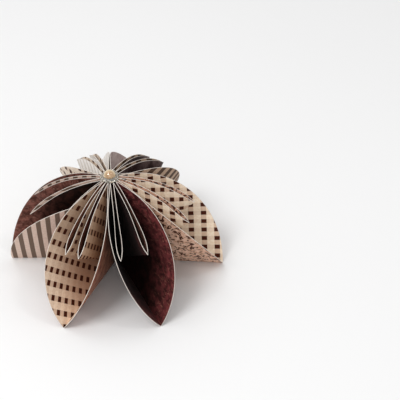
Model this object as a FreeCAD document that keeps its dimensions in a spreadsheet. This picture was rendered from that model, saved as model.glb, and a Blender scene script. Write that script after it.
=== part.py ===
"""Folded paper flower: six paper circles, each folded into one petal, a pearl and its bed of glue.

Each petal is a whole circle of paper with all its creases running out from the circle's centre, which
lies at the flower's foot. Going once round the circle, the sheet makes a keel fold on the table, a wall
up to the flower's axis, two closed narrow loops that stand inside the petal, and a second wall back down
to the keel. Every cut edge therefore lies one circle radius from the foot, and the petals together
make half a ball. Lengths are millimetres, angles are degrees. Z is up, X is right, Y is to the back.
"""

import FreeCAD, Part

import math
import os

Vector = FreeCAD.Vector

# Driving dimensions: alias, value, what it is.
DIMENSIONS = (
    ("circle_radius", 50.0, "radius of each paper circle"),
    ("paper_thickness", 0.25, "thickness of the printed card"),
    ("glue_film", 0.06, "film of glue between the walls of neighbouring petals"),
    ("wall_angle", 93.5, "angle of the circle taken by each wall"),
    ("keel_flat", 0.06, "height of the keel crease over the flat it rests on"),
    ("rim_ring", 3.5, "distance of the axis folds from the axis at the cut edge"),
    ("root_ring", 1.0, "distance of the axis folds from the axis at the root"),
    ("root_radius", 6.0, "distance from the foot where the sheet starts to thin out"),
    ("core_radius", 1.2, "distance from the foot where the crushed centre ends"),
    ("loop_bow_rim", 0.55, "how far each sheet of a loop bows at the cut edge"),
    ("loop_bow_root", 0.14, "how far each sheet of a loop bows at the root"),
    ("loop_angle", 48.4, "angle from the axis down to the loops' outer folds"),
    ("loop_rest_share", 0.4, "place of the loops at the root, as a share of the half wedge"),
    ("fold_share", 0.8, "place of the walls' axis folds, as a share of the half wedge"),
    ("root_reach_angle", 12.0, "how many degrees further down the glue reaches at the root"),
    ("pearl_radius", 2.7, "radius of the half pearl"),
    ("pearl_clearance", 0.05, "gap round the pearl in its socket"),
    ("socket_depth", 0.45, "depth of the pearl's socket in the glue bed"),
    ("bed_radius", 4.85, "radius of the bed of set glue"),
    ("bed_height", 1.15, "height of the glue bed over the papers' top"),
    ("bed_round", 0.7, "rounding of the glue bed's top edge"),
    ("bed_clearance", 0.1, "gap between the glue bed and the papers' edges"),
)

# The seams between neighbouring petals, anticlockwise from the left: the angle round the axis, and how
# far down from the axis the two walls are glued together.
SEAMS = (
    ("left_back", 154.0, 9.0),
    ("left_front", 219.7, 27.0),
    ("front", 268.3, 21.5),
    ("right_front", 320.4, 18.0),
    ("right_back", 379.5, 11.0),
    ("back", 452.8, 26.0),
)

# The petals, each between a seam and the next: the angle of its keel round the axis, and those of the
# outer folds of its two loops.
PETALS = (
    ("petal_left", 177.6, 166.0, 186.7),
    ("petal_front_left", 242.9, 238.4, 248.4),
    ("petal_front_right", 294.4, 277.1, 296.0),
    ("petal_right", 353.0, 338.3, 360.2),
    ("petal_back_right", 423.0, 411.5, 423.6),
    ("petal_back_left", 470.0, 467.6, 478.0),
)


def make_sheet(doc):
    """Write the driving dimensions into a spreadsheet with aliases."""
    sheet = doc.addObject("Spreadsheet::Sheet", "Dimensions")
    rows = list(DIMENSIONS)
    for name, angle, reach in SEAMS:
        rows.append(("seam_" + name, angle, "angle of this seam round the axis"))
        rows.append(("reach_" + name, reach, "how far down this seam is glued"))
    for name, keel, first_loop, second_loop in PETALS:
        rows.append((name + "_keel", keel, "angle of this petal's keel round the axis"))
        rows.append((name + "_loop_one", first_loop, "angle of its first loop's outer fold"))
        rows.append((name + "_loop_two", second_loop, "angle of its second loop's outer fold"))
    for row, (alias, value, text) in enumerate(rows, start=1):
        sheet.set("A%d" % row, text)
        sheet.set("B%d" % row, str(value))
        sheet.setAlias("B%d" % row, alias)
    doc.recompute()
    return sheet


def direction(polar, azimuth):
    """Unit vector at an angle from the axis and an angle round it."""
    polar = math.radians(polar)
    azimuth = math.radians(azimuth)
    flat = math.sin(polar)
    return Vector(flat * math.cos(azimuth), flat * math.sin(azimuth), math.cos(polar))


def unit(vector):
    """The vector at length one."""
    return vector * (1.0 / vector.Length)


def angle_between(one, two):
    """Angle between two unit vectors, in radians."""
    return math.acos(max(-1.0, min(1.0, one.dot(two))))


class Bow:
    """A sheet's middle line on the unit sphere: an arc of a circle through start, middle and end.

    A positive bow bends it to its left, seen from outside the sphere, which is towards the cavity.
    """

    def __init__(self, start, end, bow):
        self.start = start
        self.end = end
        between = unit(start + end)
        left = unit(start.cross(end))
        self.middle = between * math.cos(bow) + left * math.sin(bow)
        self.axis = unit((self.middle - start).cross(end - self.middle))

    def left_at(self, point):
        """The direction to the left of the arc at one of its points."""
        return unit(self.axis - point * point.dot(self.axis))

    def shifted(self, point, side):
        """The point moved to the left by an angle, or to the right by a negative one."""
        return point * math.cos(side) + self.left_at(point) * math.sin(side)

    def shifted_level(self, side):
        """The height along the axis of the arc's circle after it moves to the left by an angle."""
        return math.cos(angle_between(self.axis, self.start) - side)

    def halfway(self, start, end, side):
        """The point halfway between two points of the arc after it moves to the left by an angle."""
        level = self.shifted_level(side)
        both = start + end
        spoke = unit(both - self.axis * both.dot(self.axis))
        return self.axis * level + spoke * math.sqrt(1.0 - level * level)


def meeting_point(before, after, near, side):
    """Where two neighbouring arcs cross after both have moved to the left by the same angle."""
    cosine = before.axis.dot(after.axis)
    spread = 1.0 - cosine * cosine
    level_before = before.shifted_level(side)
    level_after = after.shifted_level(side)
    share_before = (level_before - level_after * cosine) / spread
    share_after = (level_after - level_before * cosine) / spread
    in_plane = before.axis * share_before + after.axis * share_after
    height = math.sqrt(max(1.0 - in_plane.Length ** 2, 0.0) / spread)
    across = before.axis.cross(after.axis)
    both = (in_plane + across * height, in_plane - across * height)
    return max(both, key=near.dot)


def soft_corner(before, after, point, side):
    """The corner of two arcs that meet nearly in line, after both move to the left by an angle."""
    left_before = before.left_at(point)
    left_after = after.left_at(point)
    halfway = unit(left_before + left_after)
    reach = side / halfway.dot(left_before)
    return point * math.cos(reach) + halfway * math.sin(reach)


def wall_bow(keel, glued, fold, wall_length):
    """How far a wall bows out between its keel and the end of its glue, so that it uses its length.

    It never bows past the arc that leaves the seam in line with it, where it would meet its neighbour.
    """
    chord = angle_between(keel, glued)
    free_length = wall_length - angle_between(glued, fold)
    bow = math.sqrt(max(free_length - chord, 0.0) * chord * 3.0 / 8.0)
    lean = angle_between(unit(keel.cross(glued)), unit(Vector(0.0, 0.0, 1.0).cross(glued)))
    lean = min(lean, math.pi - lean)
    half_chord = chord / 2.0
    reach = math.atan(math.tan(half_chord) / math.sin(lean))
    in_line_bow = reach - math.acos(math.cos(reach) / math.cos(half_chord))
    return min(bow, in_line_bow)


# The corners of a petal's outline in order round its circle. The sheet after each corner leads to the
# next one: a wall from the keel to the axis, both sides of loop two, both sides of loop one, and the
# other wall.
KEEL, GLUED_AFTER, FOLD_AFTER, OUTER_TWO, FOLD_MIDDLE, OUTER_ONE, FOLD_BEFORE, GLUED_BEFORE = range(8)
LOOP_SHEETS = (FOLD_AFTER, OUTER_TWO, FOLD_MIDDLE, OUTER_ONE)

# How the sheet turns at each corner: a sharp fold with its back to the outside of the petal, a sharp
# fold with its back to the cavity, or only the soft line where the glue ends.
OUTSIDE_BACK = "outside"
CAVITY_BACK = "cavity"
SOFT = "soft"
CORNER_KINDS = (OUTSIDE_BACK, SOFT, OUTSIDE_BACK, CAVITY_BACK, OUTSIDE_BACK, CAVITY_BACK, OUTSIDE_BACK, SOFT)


def middle_line(size, petal, ring, radius, bow, is_rim):
    """The creases and bowed sheets of one petal on the sphere of the given radius.

    Returns the corner points in order round the circle and the arc that leaves each of them.
    """
    before, after = petal["seams"]
    half_wedge = (after["angle"] - before["angle"]) / 2.0
    middle = before["angle"] + half_wedge
    ring_polar = math.degrees(math.asin(ring / radius))
    fold_turn = size.fold_share * half_wedge
    rest_turn = size.loop_rest_share * half_wedge
    extra = 0.0 if is_rim else size.root_reach_angle
    loop_one = petal["loop_one"] if is_rim else middle - rest_turn
    loop_two = petal["loop_two"] if is_rim else middle + rest_turn
    keel = direction(90.0, petal["keel"])
    glued_after = direction(after["reach"] + extra, after["angle"])
    fold_after = direction(ring_polar, middle + fold_turn)
    outer_two = direction(size.loop_angle, loop_two)
    fold_middle = direction(ring_polar, middle)
    outer_one = direction(size.loop_angle, loop_one)
    fold_before = direction(ring_polar, middle - fold_turn)
    glued_before = direction(before["reach"] + extra, before["angle"])
    corners = (keel, glued_after, fold_after, outer_two, fold_middle, outer_one, fold_before, glued_before)
    wall_length = math.radians(size.wall_angle)
    bows = [0.0] * len(corners)
    bows[KEEL] = -wall_bow(keel, glued_after, fold_after, wall_length)
    bows[GLUED_BEFORE] = -wall_bow(keel, glued_before, fold_before, wall_length)
    for loop_sheet in LOOP_SHEETS:
        bows[loop_sheet] = bow / radius
    following = corners[1:] + corners[:1]
    arcs = [Bow(start, end, turn) for start, end, turn in zip(corners, following, bows)]
    return corners, arcs


class Section:
    """The outline of the folded sheet on a sphere about the petal's foot.

    cavity and outside hold one arc for each sheet, as three points. backs holds the two points of the
    blunt back of each sharp fold, and inners the point inside that fold.
    """

    def __init__(self, size, petal, radius, thickness, ring, bow, is_rim):
        corners, arcs = middle_line(size, petal, ring, radius, bow, is_rim)
        half = thickness / 2.0 / radius
        count = len(corners)
        starts = {half: [None] * count, -half: [None] * count}
        ends = {half: [None] * count, -half: [None] * count}
        self.backs = {}
        self.inners = {}
        for index, kind in enumerate(CORNER_KINDS):
            point = corners[index]
            arriving = arcs[index - 1]
            leaving = arcs[index]
            last = (index - 1) % count
            if kind == SOFT:
                for side in (half, -half):
                    shared = soft_corner(arriving, leaving, point, side) * radius
                    ends[side][last] = shared
                    starts[side][index] = shared
                continue
            back = -half if kind == OUTSIDE_BACK else half
            first_back = arriving.shifted(point, back) * radius
            second_back = leaving.shifted(point, back) * radius
            if index == KEEL:
                first_back.z = -size.keel_flat
                second_back.z = -size.keel_flat
            inner = meeting_point(arriving, leaving, point, -back) * radius
            ends[back][last] = first_back
            starts[back][index] = second_back
            ends[-back][last] = inner
            starts[-back][index] = inner
            self.backs[index] = (first_back, second_back)
            self.inners[index] = inner
        self.cavity = self.curves(arcs, starts[half], ends[half], half, radius)
        self.outside = self.curves(arcs, starts[-half], ends[-half], -half, radius)

    @staticmethod
    def curves(arcs, starts, ends, side, radius):
        """One arc edge for each sheet, moved to one side of its middle line."""
        edges = []
        for arc, start, end in zip(arcs, starts, ends):
            middle = arc.halfway(start, end, side) * radius
            edges.append(Part.Arc(start, middle, end).toShape())
        return edges


def ruled(first_edge, second_edge):
    """The straight-ruled face between two edges that run the same way."""
    return Part.makeRuledSurface(first_edge, second_edge, 1)


def flat_face(*corners):
    """A flat face with the given corners."""
    return Part.Face(Part.makePolygon(corners + corners[:1]))


def sheet_faces(near, far):
    """Both skins of the sheet between two sections, and the blunt backs of its folds."""
    faces = []
    for near_edge, far_edge in zip(near.cavity + near.outside, far.cavity + far.outside):
        faces.append(ruled(near_edge, far_edge))
    for index, near_back in near.backs.items():
        far_back = far.backs[index]
        if index == KEEL:
            faces.append(flat_face(near_back[0], near_back[1], far_back[1], far_back[0]))
        else:
            faces.append(ruled(Part.makeLine(*near_back), Part.makeLine(*far_back)))
    return faces


def cut_faces(section):
    """The cut edge of the sheet along a section."""
    faces = []
    for cavity_edge, outside_edge in zip(section.cavity, section.outside):
        faces.append(ruled(cavity_edge, outside_edge))
    for index, back in section.backs.items():
        faces.append(flat_face(back[0], back[1], section.inners[index]))
    return faces


def folded_circle(size, petal):
    """One petal: the folded circle of paper as one closed solid, about its own foot."""
    rim = Section(
        size, petal, size.circle_radius, size.paper_thickness, size.rim_ring, size.loop_bow_rim, True
    )
    root = Section(
        size, petal, size.root_radius, size.paper_thickness, size.root_ring, size.loop_bow_root, False
    )
    shrink = size.core_radius / size.root_radius
    core = Section(
        size, petal, size.core_radius, size.paper_thickness * shrink, size.root_ring * shrink,
        size.loop_bow_root * shrink, False
    )
    faces = sheet_faces(root, rim) + sheet_faces(core, root)
    faces += cut_faces(rim) + cut_faces(core)
    shell = Part.makeShell(faces)
    shell.sewShape()
    solid = Part.makeSolid(shell)
    if solid.Volume < 0.0:
        solid.reverse()
    return solid


def petal_foot(size, petal):
    """Where the petal's circle has its centre, so that its walls clear the seams by half the glue."""
    before, after = petal["seams"]
    half_wedge = (after["angle"] - before["angle"]) / 2.0
    clear = (size.paper_thickness + size.glue_film) / 2.0
    out = clear / math.sin(math.radians(half_wedge))
    middle = math.radians(before["angle"] + half_wedge)
    return Vector(out * math.cos(middle), out * math.sin(middle), size.keel_flat)


def make_petals(doc, sheet):
    """Six folded circles, each between two neighbouring seams."""
    seams = []
    for name, _, _ in SEAMS:
        seams.append({"angle": sheet.get("seam_" + name), "reach": sheet.get("reach_" + name)})
    seams.append({"angle": seams[0]["angle"] + 360.0, "reach": seams[0]["reach"]})
    made = []
    for index, (name, _, _, _) in enumerate(PETALS):
        petal = {
            "seams": (seams[index], seams[index + 1]),
            "keel": sheet.get(name + "_keel"),
            "loop_one": sheet.get(name + "_loop_one"),
            "loop_two": sheet.get(name + "_loop_two"),
        }
        feature = doc.addObject("Part::Feature", name)
        feature.Label = name
        feature.Shape = folded_circle(sheet, petal)
        feature.Placement = FreeCAD.Placement(petal_foot(sheet, petal), FreeCAD.Rotation())
        made.append(feature)
    return made


def make_glue_bed(doc):
    """A low round bed of set glue, hollow below where it lies on the papers' rims, with a socket."""
    top = "Dimensions.circle_radius + Dimensions.keel_flat"
    disc = doc.addObject("Part::Cylinder", "BedDisc")
    disc.setExpression("Radius", "Dimensions.bed_radius")
    disc.setExpression("Height", "2 * Dimensions.bed_height")
    disc.setExpression("Placement.Base.z", top + " - Dimensions.bed_height")
    rounded = doc.addObject("Part::Fillet", "BedRounded")
    rounded.Base = disc
    doc.recompute()
    top_edge = top_edge_number(disc.Shape)
    bed_round = doc.getObject("Dimensions").get("bed_round")
    rounded.Edges = [(top_edge, bed_round, bed_round)]
    ball = doc.addObject("Part::Sphere", "PaperBall")
    ball.setExpression("Radius", "Dimensions.circle_radius + Dimensions.bed_clearance")
    ball.setExpression("Placement.Base.z", "Dimensions.keel_flat")
    hollowed = doc.addObject("Part::Cut", "BedHollowed")
    hollowed.Base = rounded
    hollowed.Tool = ball
    socket = doc.addObject("Part::Cylinder", "PearlSocket")
    socket.setExpression("Radius", "Dimensions.pearl_radius + Dimensions.pearl_clearance")
    socket.setExpression("Height", "Dimensions.bed_height")
    socket.setExpression("Placement.Base.z", top + " + Dimensions.bed_height - Dimensions.socket_depth")
    bed = doc.addObject("Part::Cut", "glue_bed")
    bed.Label = "glue_bed"
    bed.Base = hollowed
    bed.Tool = socket
    return bed


def top_edge_number(shape):
    """The number of the highest round edge of a shape, counted from one."""
    heights = [edge.CenterOfMass.z if edge.isClosed() else -math.inf for edge in shape.Edges]
    return heights.index(max(heights)) + 1


def make_pearl(doc):
    """A half pearl, its flat back on the floor of the socket."""
    pearl = doc.addObject("Part::Sphere", "pearl")
    pearl.Label = "pearl"
    pearl.Angle1 = 0.0
    pearl.setExpression("Radius", "Dimensions.pearl_radius")
    pearl.setExpression(
        "Placement.Base.z",
        "Dimensions.circle_radius + Dimensions.keel_flat + Dimensions.bed_height - Dimensions.socket_depth",
    )
    return pearl


def check(doc, parts):
    """Stop if any object failed to build or any sub-part isn't a sound solid."""
    for item in doc.Objects:
        if "Invalid" in item.State or "Error" in item.State:
            raise RuntimeError("%s is %s" % (item.Name, item.State))
    for item in parts:
        shape = item.Shape
        if shape.isNull() or not shape.isValid() or len(shape.Solids) != 1:
            raise RuntimeError("%s has no sound solid" % item.Label)


def main():
    doc = FreeCAD.newDocument("PaperFlower")
    sheet = make_sheet(doc)
    parts = make_petals(doc, sheet)
    parts.append(make_glue_bed(doc))
    parts.append(make_pearl(doc))
    doc.recompute()
    check(doc, parts)
    os.makedirs("parts", exist_ok=True)
    for item in parts:
        item.Shape.exportStep(os.path.join("parts", item.Label + ".step"))
        print(item.Label, "volume %.1f mm3" % item.Shape.Volume)


main()
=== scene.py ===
"""Looks of the folded paper flower: six printed paper circles, a half pearl and its bed of set glue.

Each petal starts as a flat paper circle drawn as a mesh that knows, at every point, which sheet between
two creases it lies on, how far along that sheet it is and how far out from the circle's centre. One tree
of geometry nodes folds the circle up from the angles of its creases. The prints are drawn on the flat
circle, so they run round the folds as printed paper does. Lengths are metres in the folding nodes and
millimetres in the prints.
"""

import math
import operator

import bpy
from mathutils import Matrix, Vector


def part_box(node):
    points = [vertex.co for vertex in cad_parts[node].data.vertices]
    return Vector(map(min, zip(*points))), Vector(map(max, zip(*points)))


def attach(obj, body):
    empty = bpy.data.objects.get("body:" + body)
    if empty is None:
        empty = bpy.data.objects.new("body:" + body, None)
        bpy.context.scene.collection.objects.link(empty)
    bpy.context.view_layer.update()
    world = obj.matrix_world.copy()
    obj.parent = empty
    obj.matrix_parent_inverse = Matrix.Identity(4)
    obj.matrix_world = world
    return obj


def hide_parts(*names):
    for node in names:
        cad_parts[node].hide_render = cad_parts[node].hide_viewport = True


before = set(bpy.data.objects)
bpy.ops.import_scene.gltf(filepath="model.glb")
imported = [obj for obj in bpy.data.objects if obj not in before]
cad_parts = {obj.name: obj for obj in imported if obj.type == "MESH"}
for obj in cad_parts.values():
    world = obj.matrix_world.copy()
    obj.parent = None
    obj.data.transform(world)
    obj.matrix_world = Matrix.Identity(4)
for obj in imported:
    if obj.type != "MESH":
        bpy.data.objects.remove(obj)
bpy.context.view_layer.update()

bl_info = {
    "name": "Folded Paper Flower",
    "version": (1, 0, 0),
    "blender": (4, 5, 0),
    "location": "3D View > Sidebar > Flower",
    "description": "Folds six printed paper circles into a flower and sets it on a white table",
    "category": "Object",
}

MM = 0.001
WHOLE_TURN = 2.0 * math.pi
TO_TABLE = math.pi / 2.0

# The seams between neighbouring petals, anticlockwise from the left: the angle round the axis, and how
# far down from the axis the walls are glued together, in degrees.
SEAMS = (
    (154.0, 9.0),
    (219.7, 27.0),
    (268.3, 21.5),
    (320.4, 18.0),
    (379.5, 11.0),
    (452.8, 26.0),
)

# The petals, each between a seam and the next: its keel and the outer folds of its two loops, in degrees.
PETALS = (
    ("petal_left", 177.6, 166.0, 186.7),
    ("petal_front_left", 242.9, 238.4, 248.4),
    ("petal_front_right", 294.4, 277.1, 296.0),
    ("petal_right", 353.0, 338.3, 360.2),
    ("petal_back_right", 423.0, 411.5, 423.6),
    ("petal_back_left", 470.0, 467.6, 478.0),
)

# The corners of a folded circle in order round it, and how the sheet turns at each: a sharp fold with its
# back outside the petal, a sharp fold with its back in the cavity, or the soft line where the glue ends.
# A sheet goes by the corner that it starts at.
KEEL, GLUED_AFTER, FOLD_AFTER, OUTER_TWO, FOLD_MIDDLE, OUTER_ONE, FOLD_BEFORE, GLUED_BEFORE = range(8)
CORNERS = 8
BACK_OUTSIDE = (KEEL, FOLD_AFTER, FOLD_MIDDLE, FOLD_BEFORE)
BACK_INSIDE = (OUTER_TWO, OUTER_ONE)
OUTGOING = (FOLD_AFTER, FOLD_MIDDLE)
INCOMING = (OUTER_TWO, OUTER_ONE)
LOOP_SHEETS = OUTGOING + INCOMING
INSIDE, OUTSIDE, CUT = 0, 1, 2

# A loop's belly grows with this power of the way out and closes again at the outer fold. The scale makes
# its highest point equal to one.
BELLY_POWER = 5.0
BELLY_PEAK = BELLY_POWER / (BELLY_POWER + 1.0)
BELLY_SCALE = 1.0 / (BELLY_PEAK ** BELLY_POWER / (BELLY_POWER + 1.0))

# The scissors' stray path along the cut: waves per metre, and how much finer detail they carry.
STRAY_SCALE, STRAY_DETAIL = 95.0, 2.0

# A sheet's fewest mesh steps, and the angles in degrees from which an edge shows as sharp.
LEAST_STEPS = 3
PAPER_SHARP, PEARL_SHARP, GLUE_SHARP = 28.0, 40.0, 60.0

# What each point of the paper knows: its sheet, how far along the sheet and how far out in a loop it lies,
# its skin's side, whether the skin runs in the narrow of the fold at the sheet's start and at its end, and
# whether the belly widens that fold. Then how far in to the core and how far out to the rim it lies.
SHEET_FACTS = (
    ("sheet", "INT"), ("along", "FLOAT"), ("reach", "FLOAT"), ("side", "FLOAT"), ("starts_inside", "FLOAT"),
    ("ends_inside", "FLOAT"), ("starts_wide", "FLOAT"), ("ends_wide", "FLOAT"),
)
LEVEL_FACTS = (("core", "FLOAT"), ("lift", "FLOAT"))

# The folding tree's numbers: the sizes of the card, named as the user's sizes are, and those of one petal.
CARD_INPUTS = (
    "Circle Radius", "Root Radius", "Thickness", "Rim Ring", "Root Ring", "Loop Bow Rim", "Loop Bow Root",
    "Loop Belly", "Loop Angle", "Root Reach", "Core Share", "Fold Share", "Rest Share", "Cut Wobble",
)
TURN_INPUTS = ("Seam Before", "Reach Before", "Seam After", "Reach After", "Keel", "Loop One", "Loop Two")
PETAL_INPUTS = ("Foot Out", "Rim Bow After", "Rim Bow Before", "Root Bow After", "Root Bow Before", "Seed")


# ---- sizes a user would change

def length_size(name, description, metres):
    """A length that the user can change."""
    return bpy.props.FloatProperty(name=name, description=description, default=metres, unit="LENGTH")


def angle_size(name, description, degrees):
    """An angle that the user can change, with its default in degrees."""
    default = math.radians(degrees)
    return bpy.props.FloatProperty(name=name, description=description, default=default, subtype="ANGLE")


def share_size(name, description, default):
    """A share or a strength that the user can change."""
    return bpy.props.FloatProperty(name=name, description=description, default=default)


class PaperSizes(bpy.types.PropertyGroup):
    """The card and how it is folded."""

    circle_radius: length_size("Circle Radius", "Radius of each paper circle", 50.0 * MM)
    thickness: length_size("Thickness", "Thickness of the card", 0.25 * MM)
    card: length_size("Card", "Card and glue film between two petals", 0.31 * MM)
    root_radius: length_size("Root Radius", "Where the sheet starts to thin out", 6.0 * MM)
    core_share: share_size("Core Share", "Size of the crushed centre, as a share of the root", 0.05)
    rim_ring: length_size("Rim Ring", "Axis folds' distance from the axis at the rim", 3.5 * MM)
    root_ring: length_size("Root Ring", "Axis folds' distance from the axis at the root", 1.0 * MM)
    loop_bow_rim: length_size("Loop Bow Rim", "Bow of a loop's sheets at the rim", 0.35 * MM)
    loop_bow_root: length_size("Loop Bow Root", "Bow of a loop's sheets at the root", 0.14 * MM)
    loop_belly: length_size("Loop Belly", "Extra width of a loop near its outer fold", 0.95 * MM)
    wall_angle: angle_size("Wall Angle", "Angle of the circle taken by a wall", 93.5)
    loop_angle: angle_size("Loop Angle", "Angle from the axis to the loops' outer folds", 48.4)
    root_reach: angle_size("Root Reach", "How much further down the glue reaches at the root", 12.0)
    fold_share: share_size("Fold Share", "Place of the walls' axis folds in the half wedge", 0.8)
    rest_share: share_size("Rest Share", "Place of the loops at the root in the half wedge", 0.4)
    cut_wobble: length_size("Cut Wobble", "How far the scissors strayed inside the circle", 0.22 * MM)
    steps: bpy.props.IntProperty(
        name="Steps", description="Mesh steps along a wall", default=30, min=8, max=80
    )
    levels: bpy.props.IntProperty(
        name="Levels", description="Mesh steps from the root to the rim", default=26, min=6, max=80
    )


class StageSizes(bpy.types.PropertyGroup):
    """The table, the light and the camera."""

    floor_colour: bpy.props.FloatVectorProperty(
        name="Floor", description="Colour of the white table", default=(0.93, 0.93, 0.93), subtype="COLOR"
    )
    floor_size: length_size("Floor Size", "Width of the table", 6.0)
    key_power: bpy.props.FloatProperty(
        name="Key Light", description="Power of the strongest soft box, which sets that of the others",
        default=3.35, unit="POWER"
    )
    sky_strength: share_size("Sky", "Strength of the white room", 0.58)
    lens: bpy.props.FloatProperty(
        name="Lens", description="Focal length of the camera", default=114.3, unit="CAMERA"
    )
    distance: length_size("Distance", "From the camera to the table", 0.6324)
    elevation: angle_size("Elevation", "Camera's angle above the table", 41.35)
    roll: angle_size("Roll", "Turn of the camera about its line of sight", -1.94)
    aim: bpy.props.FloatVectorProperty(
        name="Aim", description="Point of the table in the middle of the picture",
        default=(0.04015, 0.038995, 0.0), subtype="TRANSLATION", unit="LENGTH"
    )


# ---- small tools for nodes

def ink(code):
    """A colour from its six-figure screen code, as the linear red, green, blue and alpha that nodes use."""
    parts = [int(code[place:place + 2], 16) / 255.0 for place in (0, 2, 4)]
    linear = [part / 12.92 if part <= 0.04045 else ((part + 0.055) / 1.055) ** 2.4 for part in parts]
    return (*linear, 1.0)


def plug(tree, node, inputs):
    """Feed a node's inputs, by number or name, with sockets or plain values."""
    for key, value in inputs.items():
        if isinstance(value, bpy.types.NodeSocket):
            tree.links.new(value, node.inputs[key])
        else:
            node.inputs[key].default_value = value


def add(tree, kind, inputs=None, **settings):
    """Add a node, set it up and feed it."""
    made = tree.nodes.new(kind)
    for name, value in settings.items():
        setattr(made, name, value)
    plug(tree, made, inputs or {})
    return made


def direction(polar, azimuth):
    """Unit vector at an angle from the axis and an angle round it."""
    flat = math.sin(polar)
    return Vector((flat * math.cos(azimuth), flat * math.sin(azimuth), math.cos(polar)))


# Where a Mix node keeps each kind of value: its two inputs after the share, and its output.
MIX_SOCKETS = {"FLOAT": (2, 3, 0), "VECTOR": (4, 5, 1), "RGBA": (6, 7, 2)}


class PlainSums:
    """The arithmetic that the folding rule needs, on plain numbers."""

    more = staticmethod(operator.add)
    less = staticmethod(operator.sub)
    times = staticmethod(operator.mul)
    over = staticmethod(operator.truediv)
    arcsine = staticmethod(math.asin)
    towards = staticmethod(direction)


class Sums:
    """Arithmetic in a node tree, on numbers and on vectors."""

    def __init__(self, tree):
        self.tree = tree

    def number(self, operation, *values):
        return add(self.tree, "ShaderNodeMath", dict(enumerate(values)), operation=operation).outputs[0]

    def more(self, one, two):
        return self.number("ADD", one, two)

    def less(self, one, two):
        return self.number("SUBTRACT", one, two)

    def times(self, one, two):
        return self.number("MULTIPLY", one, two)

    def over(self, one, two):
        return self.number("DIVIDE", one, two)

    def arcsine(self, one):
        return self.number("ARCSINE", one)

    def vector(self, operation, *values, result="Vector"):
        feed = dict(enumerate(values))
        return add(self.tree, "ShaderNodeVectorMath", feed, operation=operation).outputs[result]

    def plus(self, one, two):
        return self.vector("ADD", one, two)

    def minus(self, one, two):
        return self.vector("SUBTRACT", one, two)

    def cross(self, one, two):
        return self.vector("CROSS_PRODUCT", one, two)

    def unit(self, one):
        return self.vector("NORMALIZE", one)

    def dot(self, one, two):
        return self.vector("DOT_PRODUCT", one, two, result="Value")

    def length(self, one):
        return self.vector("LENGTH", one, result="Value")

    def scaled(self, one, factor):
        feed = {0: one, "Scale": factor}
        return add(self.tree, "ShaderNodeVectorMath", feed, operation="SCALE").outputs[0]

    def angle(self, one, two):
        """Angle between two unit vectors."""
        return self.number("ARCCOSINE", self.number("MINIMUM", self.dot(one, two), 1.0))

    def towards(self, polar, azimuth):
        """Unit vector at an angle from the axis and an angle round it."""
        flat = self.number("SINE", polar)
        feed = {
            "X": self.times(flat, self.number("COSINE", azimuth)),
            "Y": self.times(flat, self.number("SINE", azimuth)),
            "Z": self.number("COSINE", polar),
        }
        return add(self.tree, "ShaderNodeCombineXYZ", feed).outputs[0]

    def mix(self, kind, share, first, second, **settings):
        """What lies at a share of the way from the first value to the second."""
        one, two, result = MIX_SOCKETS[kind]
        feed = {0: share, one: first, two: second}
        return add(self.tree, "ShaderNodeMix", feed, data_type=kind, **settings).outputs[result]

    def between(self, low, high, share):
        """The number at a share of the way from low to high."""
        return self.mix("FLOAT", share, low, high, clamp_factor=False)

    def colour(self, share, first, second):
        """A mix of two colours."""
        return self.mix("RGBA", share, first, second)

    def step(self, value, low, high):
        """Nought below low and one above high, with a soft ramp between."""
        feed = {"Value": value, "From Min": low, "From Max": high}
        return add(self.tree, "ShaderNodeMapRange", feed, interpolation_type="SMOOTHSTEP").outputs[0]


def new_group(name, inputs, outputs):
    """A geometry node group with the given sockets, each as (name, socket kind)."""
    group = bpy.data.node_groups.new(name, "GeometryNodeTree")
    for way, sockets in (("INPUT", inputs), ("OUTPUT", outputs)):
        for label, kind in sockets:
            group.interface.new_socket(name=label, in_out=way, socket_type=kind)
    return group, group.nodes.new("NodeGroupInput"), group.nodes.new("NodeGroupOutput")


def fact(tree, name, kind="FLOAT"):
    """What each point or face of the paper knows under this name."""
    return add(tree, "GeometryNodeInputNamedAttribute", {"Name": name}, data_type=kind).outputs[0]


NUMBER, VECTOR = "NodeSocketFloat", "NodeSocketVector"

# The two inputs at which a Compare node keeps whole numbers.
COMPARED_WHOLE_NUMBERS = (2, 3)


# ---- the folding rule

def arc_length(start, end, bow):
    """Length on the unit sphere of a sheet's line, an arc from start to end that bows to its left."""
    between = (start + end).normalized()
    left = start.cross(end).normalized()
    middle = between * math.cos(bow) + left * math.sin(bow)
    axis = (middle - start).cross(end - middle).normalized()
    centre = axis * start.dot(axis)
    spoke = start - centre
    return spoke.length * spoke.angle(end - centre)


def wall_bow(keel, glued, fold, wall_length):
    """How far a wall bows out so that it uses its length, and never past the plane of its seam.

    A shallow arc is longer than its chord by eight thirds of its bow squared, divided by the chord.
    """
    chord = keel.angle(glued)
    free_length = wall_length - glued.angle(fold)
    bow = math.sqrt(max(free_length - chord, 0.0) * chord * 3.0 / 8.0)
    lean = keel.cross(glued).angle(Vector((0.0, 0.0, 1.0)).cross(glued))
    lean = min(lean, math.pi - lean)
    reach = math.atan(math.tan(chord / 2.0) / math.sin(lean))
    in_line_bow = reach - math.acos(math.cos(reach) / math.cos(chord / 2.0))
    return min(bow, in_line_bow)


def sheet_bows(wall_after, wall_before, loop):
    """The bow of each sheet in order round the circle."""
    bows = [0.0] * CORNERS
    bows[KEEL] = wall_after
    bows[GLUED_BEFORE] = wall_before
    for sheet in LOOP_SHEETS:
        bows[sheet] = loop
    return bows


def card_sizes(paper):
    """The user's sizes of the card under the names of the folding tree's inputs."""
    return {name: getattr(paper, name.lower().replace(" ", "_")) for name in CARD_INPUTS}


def wedge(number):
    """Angles of one petal: its seams, their reaches, its keel and its two loops, in radians."""
    before = SEAMS[number]
    last = number + 1 == len(SEAMS)
    after = (SEAMS[0][0] + 360.0, SEAMS[0][1]) if last else SEAMS[number + 1]
    return dict(zip(TURN_INPUTS, map(math.radians, (*before, *after, *PETALS[number][1:]))))


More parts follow.
